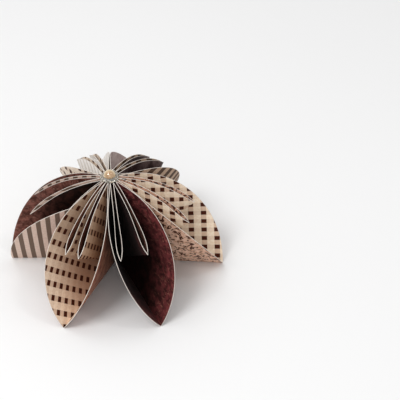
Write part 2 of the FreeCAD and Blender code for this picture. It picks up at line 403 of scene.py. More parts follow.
def half_wedge(sums, size):
    """Half of the angle between the petal's seams, and the angle round the axis of its middle."""
    half = sums.times(sums.less(size["Seam After"], size["Seam Before"]), 0.5)
    return half, sums.more(size["Seam Before"], half)


def corner_directions(sums, size, is_rim):
    """Directions of one petal's corners at the rim or at the root, in order round the circle.

    The sums and the sizes are both plain numbers or both nodes.
    """
    half, middle = half_wedge(sums, size)
    ring, radius = ("Rim Ring", "Circle Radius") if is_rim else ("Root Ring", "Root Radius")
    ring = sums.arcsine(sums.over(size[ring], size[radius]))
    fold = sums.times(half, size["Fold Share"])
    loop_one, loop_two = size["Loop One"], size["Loop Two"]
    reach_before, reach_after = size["Reach Before"], size["Reach After"]
    if not is_rim:
        rest = sums.times(half, size["Rest Share"])
        loop_one, loop_two = sums.less(middle, rest), sums.more(middle, rest)
        reach_before = sums.more(reach_before, size["Root Reach"])
        reach_after = sums.more(reach_after, size["Root Reach"])
    return (
        sums.towards(TO_TABLE, size["Keel"]),
        sums.towards(reach_after, size["Seam After"]),
        sums.towards(ring, sums.more(middle, fold)),
        sums.towards(size["Loop Angle"], loop_two),
        sums.towards(ring, middle),
        sums.towards(size["Loop Angle"], loop_one),
        sums.towards(ring, sums.less(middle, fold)),
        sums.towards(reach_before, size["Seam Before"]),
    )


def outline(paper, turn, is_rim):
    """Corner directions of one petal at the rim or at the root, and its two wall bows."""
    corners = corner_directions(PlainSums, {**card_sizes(paper), **turn}, is_rim)
    walls = ((KEEL, GLUED_AFTER, FOLD_AFTER), (KEEL, GLUED_BEFORE, FOLD_BEFORE))
    return corners, *(wall_bow(*(corners[place] for place in wall), paper.wall_angle) for wall in walls)


def sheet_angles(paper, turn):
    """Where each crease lies on the flat circle, from the keel round to the keel."""
    corners, bow_after, bow_before = outline(paper, turn, True)
    bows = sheet_bows(-bow_after, -bow_before, paper.loop_bow_rim / paper.circle_radius)
    following = corners[1:] + corners[:1]
    lengths = [arc_length(*line) for line in zip(corners, following, bows)]
    whole = sum(lengths)
    creases = [0.0]
    for length in lengths:
        creases.append(creases[-1] + length / whole * WHOLE_TURN)
    return creases


def section_group():
    """Nodes that place a point of the paper on the folded line at one distance from the foot."""
    corner_names = ["Corner %d" % number for number in range(CORNERS)]
    sizes = ("Bow After", "Bow Before", "Loop Bow", "Belly", "Radius", "Thickness")
    inputs = [(name, VECTOR) for name in corner_names] + [(name, NUMBER) for name in sizes]
    group, given, result = new_group("Folded Line", inputs, [("Position", VECTOR)])
    sums = Sums(group)
    size = given.outputs
    read = {name: fact(group, name, kind) for name, kind in SHEET_FACTS}
    wall_after, wall_before = (sums.times(size[name], -1.0) for name in ("Bow After", "Bow Before"))
    bows = sheet_bows(wall_after, wall_before, size["Loop Bow"])
    points = [size[name] for name in corner_names]

    def pick(values, shift, kind):
        """The value that belongs to the point's own sheet, or to one further on."""
        chooser = add(group, "GeometryNodeIndexSwitch", data_type=kind)
        while len(chooser.index_switch_items) < CORNERS:
            chooser.index_switch_items.new()
        plug(group, chooser, {"Index": read["sheet"]})
        plug(group, chooser, {str(sheet): values[(sheet + shift) % CORNERS] for sheet in range(CORNERS)})
        return chooser.outputs[0]

    def turning_axis(start, end, bow):
        """The axis that the sheet's arc turns about."""
        between = sums.unit(sums.plus(start, end))
        left = sums.unit(sums.cross(start, end))
        straight = sums.scaled(between, sums.number("COSINE", bow))
        middle = sums.plus(straight, sums.scaled(left, sums.number("SINE", bow)))
        return sums.unit(sums.cross(sums.minus(middle, start), sums.minus(end, middle)))

    start_before, start, end, end_after = (pick(points, shift, "VECTOR") for shift in (-1, 0, 1, 2))
    axis_before = turning_axis(start_before, start, pick(bows, -1, "FLOAT"))
    axis = turning_axis(start, end, pick(bows, 0, "FLOAT"))
    axis_after = turning_axis(end, end_after, pick(bows, 1, "FLOAT"))
    half = sums.over(sums.times(size["Thickness"], 0.5), size["Radius"])
    centre = sums.scaled(axis, sums.dot(start, axis))
    spoke = sums.minus(start, centre)
    spoke_length = sums.length(spoke)
    whole_turn = sums.angle(sums.unit(spoke), sums.unit(sums.minus(end, centre)))
    slope = sums.over(sums.times(size["Belly"], BELLY_SCALE), sums.times(spoke_length, whole_turn))

    def trimmed(corner, axis_in, axis_out, flag, wide):
        """How far the inner skin stops short of a sharp fold, as a turn of the arc."""
        arriving = sums.unit(sums.cross(corner, axis_in))
        leaving = sums.unit(sums.cross(axis_out, corner))
        opening = sums.more(sums.times(sums.angle(arriving, leaving), 0.5), sums.times(slope, wide))
        short = sums.over(half, sums.number("TANGENT", opening))
        return sums.times(sums.over(short, spoke_length), flag)

    first = trimmed(start, axis_before, axis, read["starts_inside"], read["starts_wide"])
    short = trimmed(end, axis, axis_after, read["ends_inside"], read["ends_wide"])
    turn = sums.between(first, sums.less(whole_turn, short), read["along"])
    feed = {"Vector": start, "Axis": axis, "Angle": turn}
    point = add(group, "ShaderNodeVectorRotate", feed, rotation_type="AXIS_ANGLE").outputs[0]
    left = sums.unit(sums.minus(axis, sums.scaled(point, sums.dot(point, axis))))
    outward = sums.times(sums.number("POWER", read["reach"], BELLY_POWER), sums.less(1.0, read["reach"]))
    belly = sums.times(sums.times(outward, BELLY_SCALE), size["Belly"])
    shift = sums.more(sums.times(half, read["side"]), belly)
    along = sums.scaled(point, sums.number("COSINE", shift))
    moved = sums.plus(along, sums.scaled(left, sums.number("SINE", shift)))
    group.links.new(sums.scaled(moved, size["Radius"]), result.inputs["Position"])
    return group


def folding_tree():
    """The tree that folds a flat paper circle into a petal."""
    inputs = [("Paper", "NodeSocketGeometry")]
    inputs += [(name, NUMBER) for name in CARD_INPUTS + TURN_INPUTS + PETAL_INPUTS]
    inputs += [(name, "NodeSocketMaterial") for name in ("Inside", "Outside", "Cut Edge")]
    tree, given, result = new_group("Fold Paper Circle", inputs, [("Petal", "NodeSocketGeometry")])
    tree.is_modifier = True
    sums = Sums(tree)
    size = given.outputs
    line = section_group()

    def section(is_rim):
        """The folded line at the rim or at the root."""
        where = "Rim" if is_rim else "Root"
        radius = size["Circle Radius" if is_rim else "Root Radius"]
        corners = corner_directions(sums, size, is_rim)
        feed = {"Corner %d" % number: corner for number, corner in enumerate(corners)}
        feed |= {
            "Bow After": size[where + " Bow After"],
            "Bow Before": size[where + " Bow Before"],
            "Loop Bow": sums.over(size["Loop Bow " + where], radius),
            "Belly": sums.over(size["Loop Belly"], radius) if is_rim else 0.0,
            "Radius": radius,
            "Thickness": size["Thickness"],
        }
        return add(tree, "GeometryNodeGroup", feed, node_tree=line, label=where + " Line").outputs[0]

    rim, root = section(True), section(False)
    root = sums.scaled(root, sums.between(1.0, size["Core Share"], fact(tree, "core")))
    feed = {"Vector": fact(tree, "flat", "FLOAT_VECTOR"), "W": size["Seed"], "Scale": STRAY_SCALE,
            "Detail": STRAY_DETAIL}
    stray = add(tree, "ShaderNodeTexNoise", feed, noise_dimensions="4D").outputs[0]
    wobble = sums.over(sums.times(stray, size["Cut Wobble"]), size["Circle Radius"])
    place = sums.mix("VECTOR", sums.times(fact(tree, "lift"), sums.less(1.0, wobble)), root, rim)
    _, middle = half_wedge(sums, size)
    place = sums.plus(place, sums.scaled(sums.towards(TO_TABLE, middle), size["Foot Out"]))
    parts = add(tree, "ShaderNodeSeparateXYZ", {0: place}).outputs
    feed = {"X": parts[0], "Y": parts[1], "Z": sums.number("MAXIMUM", parts[2], 0.0)}
    place = add(tree, "ShaderNodeCombineXYZ", feed).outputs[0]
    folded = add(tree, "GeometryNodeSetPosition", {"Geometry": size["Paper"], "Position": place}).outputs[0]
    folded = add(tree, "GeometryNodeRealizeInstances", {0: folded}).outputs[0]
    skin = fact(tree, "skin", "INT")
    for number, name in ((INSIDE, "Inside"), (OUTSIDE, "Outside"), (CUT, "Cut Edge")):
        feed = dict(zip(COMPARED_WHOLE_NUMBERS, (skin, number)))
        chosen = add(tree, "FunctionNodeCompare", feed, data_type="INT", operation="EQUAL").outputs[0]
        feed = {"Geometry": folded, "Selection": chosen, "Material": size[name]}
        folded = add(tree, "GeometryNodeSetMaterial", feed).outputs[0]
    tree.links.new(folded, result.inputs[0])
    return tree


def new_mesh(name, points, faces):
    """A mesh from its points and faces."""
    mesh = bpy.data.meshes.new(name)
    mesh.from_pydata(points, [], faces)
    mesh.update()
    return mesh


def paper_circle(name, paper, turn):
    """A flat paper circle as a closed mesh, with what the folding tree needs to know at each point."""
    creases = sheet_angles(paper, turn)
    spans = [end - start for start, end in zip(creases, creases[1:])]
    steps = [max(LEAST_STEPS, round(paper.steps * (span / spans[0]))) for span in spans]
    levels = [(1.0, 0.0)]
    levels += [(0.0, number / paper.levels) for number in range(paper.levels + 1)]
    points, facts, faces, skins = [], [], [], []

    def ring(level, side):
        """One closed ring of points of a skin, each marked with the corner it stands at, if any."""
        made = []
        core, lift = level
        root = paper.root_radius * (1.0 - core * (1.0 - paper.core_share))
        spread = root + (paper.circle_radius - root) * lift
        narrow, broad = (BACK_OUTSIDE, BACK_INSIDE) if side > 0 else (BACK_INSIDE, BACK_OUTSIDE)
        for sheet in range(CORNERS):
            following = (sheet + 1) % CORNERS
            for number in range(steps[sheet] + (1 if following in broad else 0)):
                along = number / steps[sheet]
                angle = creases[sheet] + spans[sheet] * along
                reach = along if sheet in OUTGOING else 1.0 - along if sheet in INCOMING else 0.0
                facts.append((sheet, along, reach, side, float(sheet in narrow), float(following in narrow),
                              float(sheet in INCOMING), float(sheet in OUTGOING), *level))
                points.append((spread * math.cos(angle), spread * math.sin(angle),
                               side * paper.thickness / 2.0))
                corner = sheet if number == 0 else following if number == steps[sheet] else None
                made.append((len(points) - 1, corner))
        return made

    rings = {side: [ring(level, side) for level in levels] for side in (1.0, -1.0)}
    for side, skin in ((1.0, INSIDE), (-1.0, OUTSIDE)):
        for low, high in zip(rings[side], rings[side][1:]):
            for number in range(len(low)):
                after = (number + 1) % len(low)
                quad = [low[number][0], low[after][0], high[after][0], high[number][0]]
                faces.append(quad if side > 0 else quad[::-1])
                skins.append(skin)
    for place, flip in ((-1, True), (0, False)):
        for face in cut_strip(rings[1.0][place], rings[-1.0][place]):
            faces.append(face[::-1] if flip else face)
            skins.append(CUT if flip else INSIDE)
    mesh = new_mesh(name, points, faces)
    for place, (label, kind) in enumerate(SHEET_FACTS + LEVEL_FACTS):
        attribute = mesh.attributes.new(label, kind, "POINT")
        attribute.data.foreach_set("value", [values[place] for values in facts])
    flat_place = mesh.attributes.new("flat", "FLOAT_VECTOR", "POINT")
    flat_place.data.foreach_set("vector", [number for point in points for number in point])
    skin_of = mesh.attributes.new("skin", "INT", "FACE")
    skin_of.data.foreach_set("value", skins)
    sheet_map = mesh.uv_layers.new(name="paper")
    across = 2.0 * paper.circle_radius
    for loop in mesh.loops:
        flat = points[loop.vertex_index]
        sheet_map.data[loop.index].uv = (0.5 + flat[0] / across, 0.5 + flat[1] / across)
    return mesh


def cut_strip(inside, outside):
    """Faces that close the gap between the two skins' rings, with a triangle at each sharp fold."""
    faces = []
    first, second = 0, 0
    while first < len(inside) or second < len(outside):
        here, there = inside[first % len(inside)], outside[second % len(outside)]
        next_here, next_there = inside[(first + 1) % len(inside)], outside[(second + 1) % len(outside)]
        here_turns = here[1] is not None and next_here[1] == here[1]
        there_turns = there[1] is not None and next_there[1] == there[1]
        if here_turns:
            faces.append([here[0], there[0], next_here[0]])
            first += 1
        elif there_turns:
            faces.append([here[0], there[0], next_there[0]])
            second += 1
        else:
            faces.append([here[0], there[0], next_there[0], next_here[0]])
            first += 1
            second += 1
    return faces


# ---- prints

# The width of a printed circle and the softness of a band's edge, in the prints' millimetres.
PRINT_WIDTH, BAND_SOFTNESS = 100.0, 0.10

# What the prints of one kind share. A noise is given by its scale, detail, roughness and distortion, as
# far as they are needed; blotches and specks give their scale apart. A ramp gives where it starts and ends.
# Toned and shaded darken the checks' middle: toned is partly print and partly painted shade, shaded is
# painted shade.
CHECKS = dict(
    pitch=(6.0, 4.3), band=(0.43, 0.47), band_strength=0.58, across=0.4, wear=(0.9, 4.0, 0.6),
    worn=(0.35, 0.7), dark="431a0c", toned=0.0, toned_ramp=(22.0, 46.0), tip=(44.0, 0.0, 0.0),
    shaded=0.0, shaded_ramp=(24.0, 56.0), inner="8e6a4a",
)
STRIPES = dict(pitch=4.5, wear=(0.8, 5.0, 0.6), worn=(0.3, 0.75), shift=(0.0, 0.0, 0.0))
# Deepest sets the mottled prints' darkest patch, which is partly the print and partly painted shade.
MOTTLES = dict(
    deepest=((0.0, -4.0), 34.0, 58.0), border=(0.12, 3.0), border_stray=14.0, blotch=0.3,
    blotched=(6.0, 0.62, 0.4), blotch_ramp=(0.36, 0.68), lift=0.85, deep_lift=0.5, turn=30.0,
    stretch=(0.4, 1.0, 1.0), fineness=3.2, specked=(4.0, 0.7, 0.6), speck_ramp=(0.54, 0.68), specks=0.66,
)
CURLS = dict(
    wear=(0.45, 5.0, 0.65), worn=(0.32, 0.68), curl=(0.28, 1.0, 0.4, 1.8), lines=2.6, line_ramp=(0.0, 0.08),
    swell=(0.35, 2.0), swells=(-0.08, 0.34), gaps=(0.3, 2.0), gap_ramp=(0.34, 0.44),
)


def flat_paper(tree):
    """The point's place on the flat circle, in millimetres from its centre."""
    sums = Sums(tree)
    uv = add(tree, "ShaderNodeUVMap", uv_map="paper").outputs[0]
    return sums.scaled(sums.minus(uv, (0.5, 0.5, 0.0)), PRINT_WIDTH)


def turned(tree, vector, angle, shift=(0.0, 0.0, 0.0), scale=(1.0, 1.0, 1.0)):
    """The print's own axes: the flat paper turned and shifted, and stretched where a scale is under one."""
    feed = {"Vector": vector, "Rotation": (0.0, 0.0, -math.radians(angle)), "Location": shift,
            "Scale": scale}
    return add(tree, "ShaderNodeMapping", feed).outputs[0]


def turned_axes(tree, place, look):
    """The distances along the print's own axes."""
    return add(tree, "ShaderNodeSeparateXYZ", {0: turned(tree, place, look["turn"], look["shift"])}).outputs


def band(tree, place, pitch, share):
    """One in the bands of a regular stripe and nought between them. Share is the bands' width."""
    sums = Sums(tree)
    ramp = sums.number("PINGPONG", sums.over(place, pitch), 0.5)
    edge, soft = share / 2.0, BAND_SOFTNESS / pitch
    return sums.less(1.0, sums.step(ramp, edge - soft, edge + soft))


def noise(tree, vector, scale, detail=3.0, roughness=0.5, distortion=0.0):
    """Noise between nought and one."""
    feed = {"Vector": vector, "Scale": scale, "Detail": detail, "Roughness": roughness,
            "Distortion": distortion}
    return add(tree, "ShaderNodeTexNoise", feed).outputs[0]


def worn_ground(tree, place, look):
    """The print's ground and its worn patches."""
    sums = Sums(tree)
    worn = sums.step(noise(tree, place, *look["wear"]), *look["worn"])
    return sums.colour(worn, ink(look["ground"]), ink(look["ground_worn"]))


def checks_print(tree, place, look):
    """Small checks: dark oblongs where two sets of faint bands cross.

    Where the look asks for it, the ground is toned down towards the circle's centre, partly as print and
    partly as painted shade, and the whole print away from the keel's tip, as painted shade.
    """
    sums = Sums(tree)
    axes = turned_axes(tree, place, look)
    up, across = (band(tree, axes[way], look["pitch"][way], look["band"][way]) for way in (0, 1))
    either = sums.number("MAXIMUM", up, sums.times(across, look["across"]))
    # Partly painted shade: the ground turns towards the bands' colour near the circle's centre.
    outer = sums.step(sums.length(place), *look["toned_ramp"])
    toned = sums.times(sums.less(1.0, outer), look["toned"])
    ground = sums.colour(toned, worn_ground(tree, place, look), ink(look["bands"]))
    printed = sums.colour(sums.times(either, look["band_strength"]), ground, ink(look["bands"]))
    # Painted shade: away from the keel's tip, the whole print turns towards the inner colour.
    from_tip = sums.step(sums.length(sums.minus(place, look["tip"])), *look["shaded_ramp"])
    printed = sums.colour(sums.times(from_tip, look["shaded"]), printed, ink(look["inner"]))
    return sums.colour(sums.times(up, across), printed, ink(look["dark"]))


def stripes_print(tree, place, look):
    """Even stripes of two colours."""
    stripe = band(tree, turned_axes(tree, place, look)[0], look["pitch"], look["share"])
    return Sums(tree).colour(stripe, worn_ground(tree, place, look), ink(look["dark"]))


def mottled_print(tree, place, look):
    """A dark wash with lighter blotches and worn specks, deepest about one point: partly print, partly
    painted shade.
    """
    sums = Sums(tree)
    # Partly painted shade: near this point the wash turns to the deep colour, where the sheets lie in
    # shadow.
    centre, near, far = look["deepest"]
    away = sums.length(sums.minus(place, (*centre, 0.0)))
    away = sums.more(away, sums.times(noise(tree, place, *look["border"]), look["border_stray"]))
    blotch = noise(tree, place, look["blotch"], *look["blotched"])
    streaked = turned(tree, place, look["turn"], scale=look["stretch"])
    streak = noise(tree, streaked, look["blotch"] * look["fineness"], *look["specked"])
    lit = sums.times(sums.step(blotch, *look["blotch_ramp"]), look["lift"])
    wash = sums.colour(lit, ink(look["ground"]), ink(look["bright"]))
    specks = sums.times(sums.step(streak, *look["speck_ramp"]), look["specks"])
    wash = sums.colour(specks, wash, ink(look["speck"]))
    deep = sums.colour(sums.times(lit, look["deep_lift"]), ink(look["deep"]), ink(look["ground"]))
    return sums.colour(sums.step(away, near, far), deep, wash)


def curls_print(tree, place, look):
    """Thin dark curls on a mottled tan ground."""
    sums = Sums(tree)
    lines = sums.number("PINGPONG", sums.times(noise(tree, place, *look["curl"]), look["lines"]), 0.5)
    width = sums.between(*look["swells"], noise(tree, place, *look["swell"]))
    line = sums.less(1.0, sums.step(sums.less(lines, width), *look["line_ramp"]))
    broken = sums.step(noise(tree, place, *look["gaps"]), *look["gap_ramp"])
    return sums.colour(sums.times(line, broken), worn_ground(tree, place, look), ink(look["dark"]))


# The mottled prints' deepest patches lie where each petal's cavity and loops are in shade: painted shade,
# in part.
PRINTS = {
    "dark_maroon": (mottled_print, dict(
        MOTTLES, deep="140906", ground="4c2a22", bright="935f53", speck="a87c6e",
        deepest=((-6.0, 46.0), 24.0, 42.0))),
    "deep_maroon": (mottled_print, dict(
        MOTTLES, deep="120805", ground="3f191a", bright="8a4243", speck="b77c6a", turn=50.0,
        deepest=((-14.0, -20.0), 54.0, 84.0))),
    # Its deepest patch covers the loops' narrow insides, as painted shade.
    "red_brown": (mottled_print, dict(
        MOTTLES, deep="3f2018", ground="7a4433", bright="b57d60", speck="c09678", blotch=0.2,
        deepest=((-34.0, 0.0), 28.0, 62.0))),
    "dark_brown": (mottled_print, dict(
        MOTTLES, deep="24120d", ground="3a221b", bright="74493a", speck="86604e")),
    # Dark maroon paper with a painted sheen as its pale grey-mauve wash, and painted shade as its deep
    # patch.
    "maroon_painted_sheen": (mottled_print, dict(
        MOTTLES, deep="2c1614", ground="9d8580", bright="c2aea7", speck="cbbab4", blotch=0.12,
        deepest=((-26.0, -20.0), 52.0, 70.0))),
    # The front left petal's checks are toned and shaded: painted shade on its top and middle, in part.
    "checks_turned": (checks_print, dict(
        CHECKS, ground="f8e2cb", ground_worn="ebd0b6", bands="b48a70", band_strength=0.46, toned=0.9,
        shaded=0.5, pitch=(6.1, 4.2), turn=39.3, shift=(-1.77, 1.45, 0.0))),
    "checks_straight": (checks_print, dict(
        CHECKS, ground="faebd7", ground_worn="efdac0", bands="c09a82", turn=2.5, shift=(0.48, -1.12, 0.0))),
    "checks_pale": (checks_print, dict(
        CHECKS, ground="f8ecdc", ground_worn="e9d8c4", bands="bd957c", band_strength=0.3, turn=90.0,
        shift=(5.3, -0.9, 0.0))),
    "grey_stripes": (stripes_print, dict(
        STRIPES, ground="e4cdbf", ground_worn="d6bbab", dark="6f5a4c", share=0.49, turn=3.6,
        shift=(1.47, 0.0, 0.0))),
    "olive_stripes": (stripes_print, dict(
        STRIPES, ground="c9b098", ground_worn="b3977e", dark="503a2a", share=0.5, pitch=6.0, turn=66.0,
        shift=(4.7, 0.0, 0.0))),
    "pale_stripes": (stripes_print, dict(
        STRIPES, ground="fbf8f5", ground_worn="f3ede8", dark="dfd8d0", share=0.42, turn=30.0)),
    "tan_curls": (curls_print, dict(CURLS, ground="cc9c80", ground_worn="efcab2", dark="4a261a")),
}

# The print on the inside and the outside of each petal.
PAPERS = {
    "petal_left": ("dark_maroon", "grey_stripes"),
    "petal_front_left": ("checks_turned", "red_brown"),
    "petal_front_right": ("deep_maroon", "dark_brown"),
    "petal_right": ("checks_straight", "tan_curls"),
    "petal_back_right": ("maroon_painted_sheen", "olive_stripes"),
    "petal_back_left": ("pale_stripes", "checks_pale"),
}


# ---- finishes

# The card: its fine fibres and coarser pulp, how deep and how strong they stand, and its white core, which
# shows as a thin line with a ragged border just inside the cut edge.
FIBRES, PULP = (2600.0, 3.0, 0.6), (420.0, 4.0, 0.6)
GRAIN_DEPTH = 0.05 * MM
PRINTED_GRAIN, BARE_GRAIN = 0.35, 0.5
PAPER_ROUGHNESS = (0.50, 0.66)
PAPER_GLOSS = {"Specular IOR Level": 0.14, "Sheen Weight": 0.02, "Sheen Roughness": 0.4}
RAGGED, RAGGED_WIDTH = (1.6, 3.0), 0.22
BARE_RAMP, BARE_SHARE = (49.97, 50.06), 0.6
CORE_WHITE, CORE_TINT = "ddd4cc", "d5cabf"
TINTED, TINT_RAMP = (3.0, 4.0), (0.35, 0.7)

# The glue: its clouds and its ripples.
GLUE_CLOUD, GLUE_CLOUD_RAMP = (700.0, 3.0), (0.3, 0.7)
GLUE_CLEAR, GLUE_YELLOWED = "fbf8f0", "eee7d8"
GLUE_ROUGHNESS = (0.05, 0.16)
GLUE_GLASS = {"Transmission Weight": 0.85, "IOR": 1.47}
RIPPLES, RIPPLE_STRENGTH, RIPPLE_DEPTH = (900.0, 1.0), 0.5, 0.12 * MM

# The pearl: its own gold and cream, darker gold in the middle as a painted reflection of a dark room, and
# cream towards its rim as a painted sheen, with faint clouds under a clear coat.
PEARL_RIM, PEARL_RIM_RAMP = {"Blend": 0.45}, (0.1, 0.8)
PEARL_GOLD_REFLECTION, PEARL_CREAM_SHEEN, PEARL_CLOUDED = "97682c", "eed8a8", "e9c98e"
PEARL_CLOUD, PEARL_CLOUD_SHARE = (500.0, 2.0), 0.3
PEARL_ROUGHNESS = (0.20, 0.30)
PEARL_COAT = {"Metallic": 0.25, "Coat Weight": 1.0, "Coat Roughness": 0.04, "Coat IOR": 2.0}

# The table: the faint change of its white.
TABLE_TONE, TABLE_GREY = (3.0, 2.0), 0.97
TABLE_GLOSS = {"Roughness": 0.55, "Specular IOR Level": 0.2}


def new_material(name):
    """An empty node material: itself, its tree, its shader and its arithmetic."""
    material = bpy.data.materials.new(name)
    material.use_nodes = True
    tree = material.node_tree
    return material, tree, tree.nodes["Principled BSDF"], Sums(tree)


def solid_place(tree):
    """The point's place in the flower, in metres."""
    return add(tree, "ShaderNodeTexCoord").outputs["Object"]


def bump(tree, height, strength, depth):
    """The surface's normal where small bumps stand on it."""
    feed = {"Height": height, "Strength": strength, "Distance": depth}
    return add(tree, "ShaderNodeBump", feed).outputs[0]


def paper_grain(tree, shader, strength):
    """Fine fibres of the card, as bump and as a little change of gloss."""
    sums = Sums(tree)
    place = solid_place(tree)
    pulp = noise(tree, place, *PULP)
    height = sums.between(noise(tree, place, *FIBRES), pulp, 0.5)
    plug(tree, shader, {"Normal": bump(tree, height, strength, GRAIN_DEPTH),
                        "Roughness": sums.between(*PAPER_ROUGHNESS, pulp)})


def printed_paper(name):
    """Material of one printed side, with a thin white line of bare paper along the cut."""
    draw, look = PRINTS[name]
    material, tree, shader, sums = new_material("paper_" + name)
    place = flat_paper(tree)
    ragged = sums.times(noise(tree, place, *RAGGED), RAGGED_WIDTH)
    bare = sums.step(sums.more(sums.length(place), ragged), *BARE_RAMP)
    colour = sums.colour(sums.times(bare, BARE_SHARE), draw(tree, place, look), ink(CORE_WHITE))
    plug(tree, shader, {"Base Color": colour, **PAPER_GLOSS})
    paper_grain(tree, shader, PRINTED_GRAIN)
    return material


def bare_paper():
    """Material of the cut edge: the card's white core with a few tinted fibres."""
    material, tree, shader, sums = new_material("paper_cut_edge")
    tint = sums.step(noise(tree, flat_paper(tree), *TINTED), *TINT_RAMP)
    plug(tree, shader, {"Base Color": sums.colour(tint, ink(CORE_WHITE), ink(CORE_TINT))})
    paper_grain(tree, shader, BARE_GRAIN)
    return material


def set_glue():
    """Material of the clear, slightly yellow glue."""
    material, tree, shader, sums = new_material("set_glue")
    place = solid_place(tree)
    cloud = noise(tree, place, *GLUE_CLOUD)
    yellowed = sums.step(cloud, *GLUE_CLOUD_RAMP)
    ripples = noise(tree, place, *RIPPLES)
    plug(tree, shader, {"Base Color": sums.colour(yellowed, ink(GLUE_CLEAR), ink(GLUE_YELLOWED)),
                        "Roughness": sums.between(*GLUE_ROUGHNESS, cloud),
                        "Normal": bump(tree, ripples, RIPPLE_STRENGTH, RIPPLE_DEPTH), **GLUE_GLASS})
    return material


def pearl_lustre():
    """Material of the cream and gold pearl under its clear coat, with a painted reflection by the angle of
    view.
    """
    material, tree, shader, sums = new_material("pearl_lustre")
    rim = add(tree, "ShaderNodeLayerWeight", PEARL_RIM).outputs["Facing"]
    # Painted reflection: darker gold where the surface faces the view, cream sheen towards the rim.
    lustre = sums.colour(sums.step(rim, *PEARL_RIM_RAMP), ink(PEARL_GOLD_REFLECTION), ink(PEARL_CREAM_SHEEN))
    cloud = noise(tree, solid_place(tree), *PEARL_CLOUD)
    clouded = sums.colour(sums.times(cloud, PEARL_CLOUD_SHARE), lustre, ink(PEARL_CLOUDED))
    plug(tree, shader, {"Base Color": clouded, "Roughness": sums.between(*PEARL_ROUGHNESS, cloud),
                        **PEARL_COAT})
    return material


def white_table(colour):
    """Material of the table, a plain white with the faintest change of tone."""
    material, tree, shader, sums = new_material("white_table")
    tone = noise(tree, solid_place(tree), *TABLE_TONE)
    white, grey = (*colour, 1.0), (*(TABLE_GREY * part for part in colour), 1.0)
    plug(tree, shader, {"Base Color": sums.colour(tone, white, grey), **TABLE_GLOSS})
    return material


# ---- pieces

# The pearl: how far its foot is drawn in and how high its bevel is, as shares of its radius, the angle in
# degrees at which its dome starts, and the mesh's rings and the steps round it.
PEARL_EDGE, PEARL_BEVEL, PEARL_START = 0.06, 0.015, 3.0
PEARL_RINGS, PEARL_TURNS = 24, 96

# The glue bed lies this far above the sphere of the papers' cut edges, and its socket is this much wider
# than the pearl. Its profile goes out under it in shares of its reach, up its outer side in shares of its
# reach and rise, and round the lip of the socket in shares of the socket's radius and the rise.
GLUE_LIFT, GLUE_ROOM, GLUE_TURNS = 0.1 * MM, 0.05 * MM, 120
GLUE_UNDER = (0.25, 0.5, 0.7, 0.85, 0.95)
GLUE_SIDE = (
    (0.995, 0.02), (1.0, 0.16), (0.985, 0.34), (0.95, 0.52), (0.88, 0.68), (0.78, 0.78), (0.68, 0.84),
)
GLUE_LIP = ((1.10, 0.90), (1.03, 0.97), (1.0, 0.93))
GLUE_SOCKET_FLOOR = 0.98

# How far the glue's outline falls back at most, and its waves: their height, number and start.
GLUE_STRAY = 0.11
GLUE_WAVES = ((0.5, 3.0, 0.7), (0.3, 7.0, 2.1), (0.2, 13.0, 4.0))

# The soft boxes round the flower: azimuth and elevation in degrees, width in metres and share of the key
# light's power. All stand at one distance from a point in the flower's middle.
BOXES = (
    ("key_box", 222.0, 58.0, 0.36, 1.0),
    ("front_box", 272.0, 34.0, 0.50, 0.20),
    ("back_box", 135.0, 62.0, 0.40, 0.22),
    ("fill_box", 345.0, 60.0, 0.11, 0.15),
)
BOX_DISTANCE = 0.9
FLOWER_MIDDLE = Vector((0.0, 0.0, 0.03))

# The nearest and the furthest that the camera sees, in metres.
NEAREST, FURTHEST = 0.01, 20.0


def show(name, mesh, materials=()):
    """Put a mesh into the scene as an object at the origin."""
    for material in materials:
        mesh.materials.append(material)
    piece = bpy.data.objects.new(name, mesh)
    bpy.context.scene.collection.objects.link(piece)
    return piece


def seat(piece, node):
    """Let the piece ride on the flower in place of the CAD node."""
    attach(piece, "root")
    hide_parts(node)


def apply_nodes(piece):
    """Turn what the piece's nodes make into its plain mesh."""
    depsgraph = bpy.context.evaluated_depsgraph_get()
    made = bpy.data.meshes.new_from_object(piece.evaluated_get(depsgraph), depsgraph=depsgraph)
    piece.modifiers.clear()
    flat = piece.data
    piece.data = made
    bpy.data.meshes.remove(flat)
    made.name = piece.name
    return made


def set_inputs(modifier, values):
    """Set a modifier's named inputs through their identifiers."""
    for item in modifier.node_group.interface.items_tree:
        if item.item_type == "SOCKET" and item.in_out == "INPUT" and item.name in values:
            modifier[item.identifier] = values[item.name]


def lathed(name, profile, turns, wobble=lambda angle, radius: 0.0):
    """A closed round mesh from a profile of (radius, height), both ends on the axis."""
    points, faces = [], []
    for radius, height in profile[1:-1]:
        for number in range(turns):
            angle = WHOLE_TURN * number / turns
            out = radius * (1.0 + wobble(angle, radius))
            points.append((out * math.cos(angle), out * math.sin(angle), height))
    last = len(points) - turns
    bottom, top = len(points), len(points) + 1
    points += [(0.0, 0.0, profile[0][1]), (0.0, 0.0, profile[-1][1])]
    for low in range(0, last, turns):
        for number in range(turns):
            after = (number + 1) % turns
            faces.append((low + number, low + after, low + turns + after, low + turns + number))
    for number in range(turns):
        after = (number + 1) % turns
        faces += [(bottom, after, number), (top, last + number, last + after)]
    return new_mesh(name, points, faces)


def smooth(mesh, sharp_angle):
    """Shade the mesh smooth except along edges sharper than the given angle."""
    mesh.polygons.foreach_set("use_smooth", [True] * len(mesh.polygons))
    mesh.set_sharp_from_angle(angle=math.radians(sharp_angle))
    return mesh


